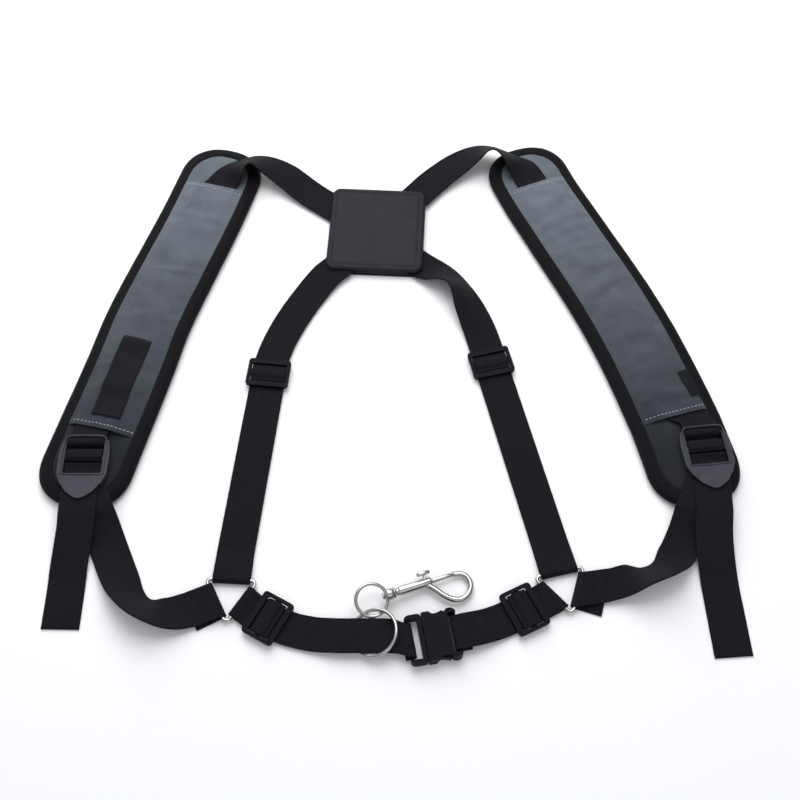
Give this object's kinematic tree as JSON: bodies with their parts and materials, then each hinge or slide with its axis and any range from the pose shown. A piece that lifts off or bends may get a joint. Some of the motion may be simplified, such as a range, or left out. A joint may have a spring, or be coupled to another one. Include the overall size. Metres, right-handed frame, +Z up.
{
  "type": "wind instrument shoulder harness",
  "caption": "Padded two-shoulder harness for a wind instrument: curved pads, back plate, adjustable webbing, side-release belt buckle and a swivel snap hook.",
  "frame": {"origin": "centre of the back plate's rear face, on the table the harness lies on", "axes": "+Z up out of the table, away from the rear face; +Y from the belt up to the plate and neck; +X to the right with the belt nearest the viewer"},
  "size_m": [0.5839, 0.5218, 0.0324],
  "materials": {
    "webbing": "woven matt",
    "binding": "woven matt",
    "grey_fabric": "matt",
    "foam": "matt",
    "lining": "matt",
    "leatherette": "satin",
    "board": "matt",
    "black_plastic": "satin",
    "blue_grey_plastic": "satin",
    "nickel": "polished",
    "spring_steel": "satin",
    "label": "matt"
  },
  "bodies": {
    "harness": {"back_plate_rear": "leatherette", "back_plate_front": "leatherette", "back_plate_board": "board", "shoulder_web_left": "webbing", "shoulder_web_right": "webbing", "back_web_left": "webbing", "back_web_right": "webbing", "back_web_left_return": "webbing", "back_web_right_return": "webbing", "pad_left_foam": "foam", "pad_left_binding": "binding", "pad_left_lining": "lining", "pad_left_face": "grey_fabric", "pad_left_sleeve": "grey_fabric", "pad_left_label": "label", "pad_right_foam": "foam", "pad_right_binding": "binding", "pad_right_lining": "lining", "pad_right_face": "grey_fabric", "pad_right_sleeve": "grey_fabric", "pad_right_tag": "label", "front_web_left": "webbing", "front_web_right": "webbing", "tail_web_left": "webbing", "tail_web_right": "webbing", "triangle_ring_left": "nickel", "triangle_ring_right": "nickel", "belt_web_left": "webbing", "belt_web_left_return": "webbing", "belt_web_right": "webbing", "belt_web_right_return": "webbing", "buckle_female": "black_plastic"},
    "lock_left": {"ladder_lock_left": "blue_grey_plastic", "front_web_left_bar_wrap": "webbing"},
    "lock_right": {"ladder_lock_right": "blue_grey_plastic", "front_web_right_bar_wrap": "webbing"},
    "back_slider_left": {"back_slider_left": "black_plastic", "back_slider_left_web": "webbing"},
    "back_slider_right": {"back_slider_right": "black_plastic", "back_slider_right_web": "webbing"},
    "belt_slider_left": {"belt_slider_left": "black_plastic", "belt_slider_left_web": "webbing"},
    "belt_slider_right": {"belt_slider_right": "black_plastic", "belt_slider_right_web": "webbing"},
    "buckle_male": {"buckle_male": "black_plastic"},
    "prong_upper": {"buckle_prong_upper": "black_plastic"},
    "prong_lower": {"buckle_prong_lower": "black_plastic"},
    "belt_ring": {"belt_ring": "nickel"},
    "hook_eye": {"hook_eye": "nickel"},
    "hook_body": {"hook_body": "nickel", "hook_spring": "spring_steel"},
    "hook_bolt": {"hook_bolt": "nickel", "hook_thumb_knob": "nickel"}
  },
  "joints": [
    {"name": "ladder_lock_left_tilt", "type": "hinge", "parent": "harness", "child": "lock_left", "pos_m": [-0.24, -0.231, 0.0136], "axis": [-1, 0, 0], "range_deg": [0, 35], "deforming": ["front_web_left", "tail_web_left"]},
    {"name": "ladder_lock_right_tilt", "type": "hinge", "parent": "harness", "child": "lock_right", "pos_m": [0.2755, -0.222, 0.0136], "axis": [-0.9945, -0.1045, 0], "range_deg": [0, 35], "deforming": ["front_web_right", "tail_web_right"]},
    {"name": "back_slider_left_slide", "type": "slide", "parent": "harness", "child": "back_slider_left", "axis": [-0.0993, -0.9951, 0], "range_m": [0, 0.12], "deforming": ["back_web_left_return"]},
    {"name": "back_slider_right_slide", "type": "slide", "parent": "harness", "child": "back_slider_right", "axis": [0.2317, -0.9728, 0], "range_m": [0, 0.12], "deforming": ["back_web_right_return"]},
    {"name": "belt_slider_left_slide", "type": "slide", "parent": "harness", "child": "belt_slider_left", "axis": [0.8746, -0.4848, 0], "range_m": [0, 0.008], "deforming": ["belt_web_left_return"]},
    {"name": "belt_slider_right_slide", "type": "slide", "parent": "harness", "child": "belt_slider_right", "axis": [-0.8988, -0.4384, 0], "range_m": [0, 0.005], "deforming": ["belt_web_right_return"]},
    {"name": "buckle_release", "type": "slide", "parent": "harness", "child": "buckle_male", "axis": [-0.9848, -0.1736, 0], "range_m": [0, 0.024], "deforming": ["belt_web_left"]},
    {"name": "prong_upper_flex", "type": "hinge", "parent": "buckle_male", "child": "prong_upper", "pos_m": [0.03857, -0.38336, 0.006], "axis": [0, 0, -1], "range_deg": [0, 21]},
    {"name": "prong_lower_flex", "type": "hinge", "parent": "buckle_male", "child": "prong_lower", "pos_m": [0.04343, -0.41093, 0.006], "axis": [0, 0, 1], "range_deg": [0, 21]},
    {"name": "belt_ring_tilt", "type": "hinge", "parent": "buckle_male", "child": "belt_ring", "pos_m": [0.002, -0.393, 0.0079], "axis": [0, -1, 0], "range_deg": [0, 55]},
    {"name": "hook_eye_swing", "type": "hinge", "parent": "belt_ring", "child": "hook_eye", "pos_m": [0.00499, -0.37498, 0.00899], "axis": [0.9254, 0.1736, 0.3368], "range_deg": [0, 45]},
    {"name": "hook_swivel", "type": "hinge", "parent": "hook_eye", "child": "hook_body", "pos_m": [0.01348, -0.36259, 0.00878], "axis": [0.9363, 0.3408, -0.0847], "continuous": true},
    {"name": "hook_bolt_slide", "type": "slide", "parent": "hook_body", "child": "hook_bolt", "axis": [-0.9363, -0.3408, 0.0847], "range_m": [0, 0.008], "stiffness_N_per_m": 300, "springref_m": -0.004, "deforming": ["hook_spring"]}
  ],
  "couplings": [
    {"joint": "prong_upper_flex", "follows": "buckle_release", "rad_per_m": 14.6},
    {"joint": "prong_lower_flex", "follows": "buckle_release", "rad_per_m": 14.6}
  ]
}
